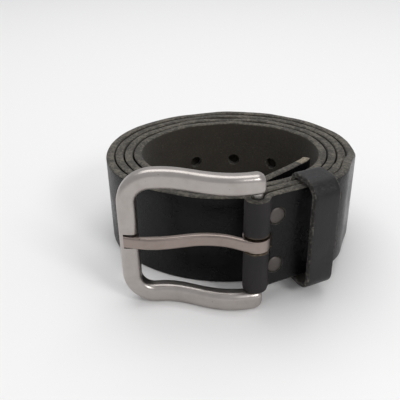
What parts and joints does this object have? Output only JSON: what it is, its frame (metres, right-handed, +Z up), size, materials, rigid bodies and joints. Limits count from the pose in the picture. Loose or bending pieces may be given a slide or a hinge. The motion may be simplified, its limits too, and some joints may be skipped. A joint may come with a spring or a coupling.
{
  "type": "leather belt",
  "caption": "Rolled leather belt standing on its edge: oval spiral strap, hinged heel-bar buckle frame with swinging prong, riveted fold and a sliding keeper loop.",
  "frame": {"origin": "on the table, under the middle of the belt's bounding box", "axes": "+Z up, across the strap; +Y from the buckle's side to the back of the roll; +X to the right seen from the buckle's side"},
  "size_m": [0.1062, 0.1098, 0.0552],
  "materials": {
    "black_leather": "smooth, soft satin, worn raw edges",
    "satin_nickel": "tumbled satin nickel plate",
    "steel": "plain drawn wire",
    "dull_metal": "dull bronze-brown, worn"
  },
  "bodies": {
    "strap": {"strap": "black_leather", "rivet_head_near_upper": "dull_metal", "rivet_back_near_upper": "dull_metal", "rivet_head_near_lower": "dull_metal", "rivet_back_near_lower": "dull_metal", "rivet_head_far_upper": "dull_metal", "rivet_back_far_upper": "dull_metal", "rivet_head_far_lower": "dull_metal", "rivet_back_far_lower": "dull_metal"},
    "buckle": {"buckle_frame": "satin_nickel", "hinge_bar": "steel"},
    "prong": {"prong": "satin_nickel"},
    "keeper": {"keeper": "black_leather", "keeper_staple_upper": "steel", "keeper_staple_lower": "steel"}
  },
  "joints": [
    {"name": "buckle_hinge", "type": "hinge", "parent": "strap", "child": "buckle", "pos_m": [0.00642, -0.04945, 0.0276], "axis": [0, 0, 1], "range_deg": [-14, 60]},
    {"name": "prong_hinge", "type": "hinge", "parent": "buckle", "child": "prong", "pos_m": [0.00642, -0.04945, 0.0278], "axis": [0, 0, 1], "range_deg": [0, 80]},
    {"name": "keeper_slide", "type": "slide", "parent": "strap", "child": "keeper", "axis": [0.9078, 0.4195, 0], "range_m": [-0.0075, 0.0012]}
  ]
}
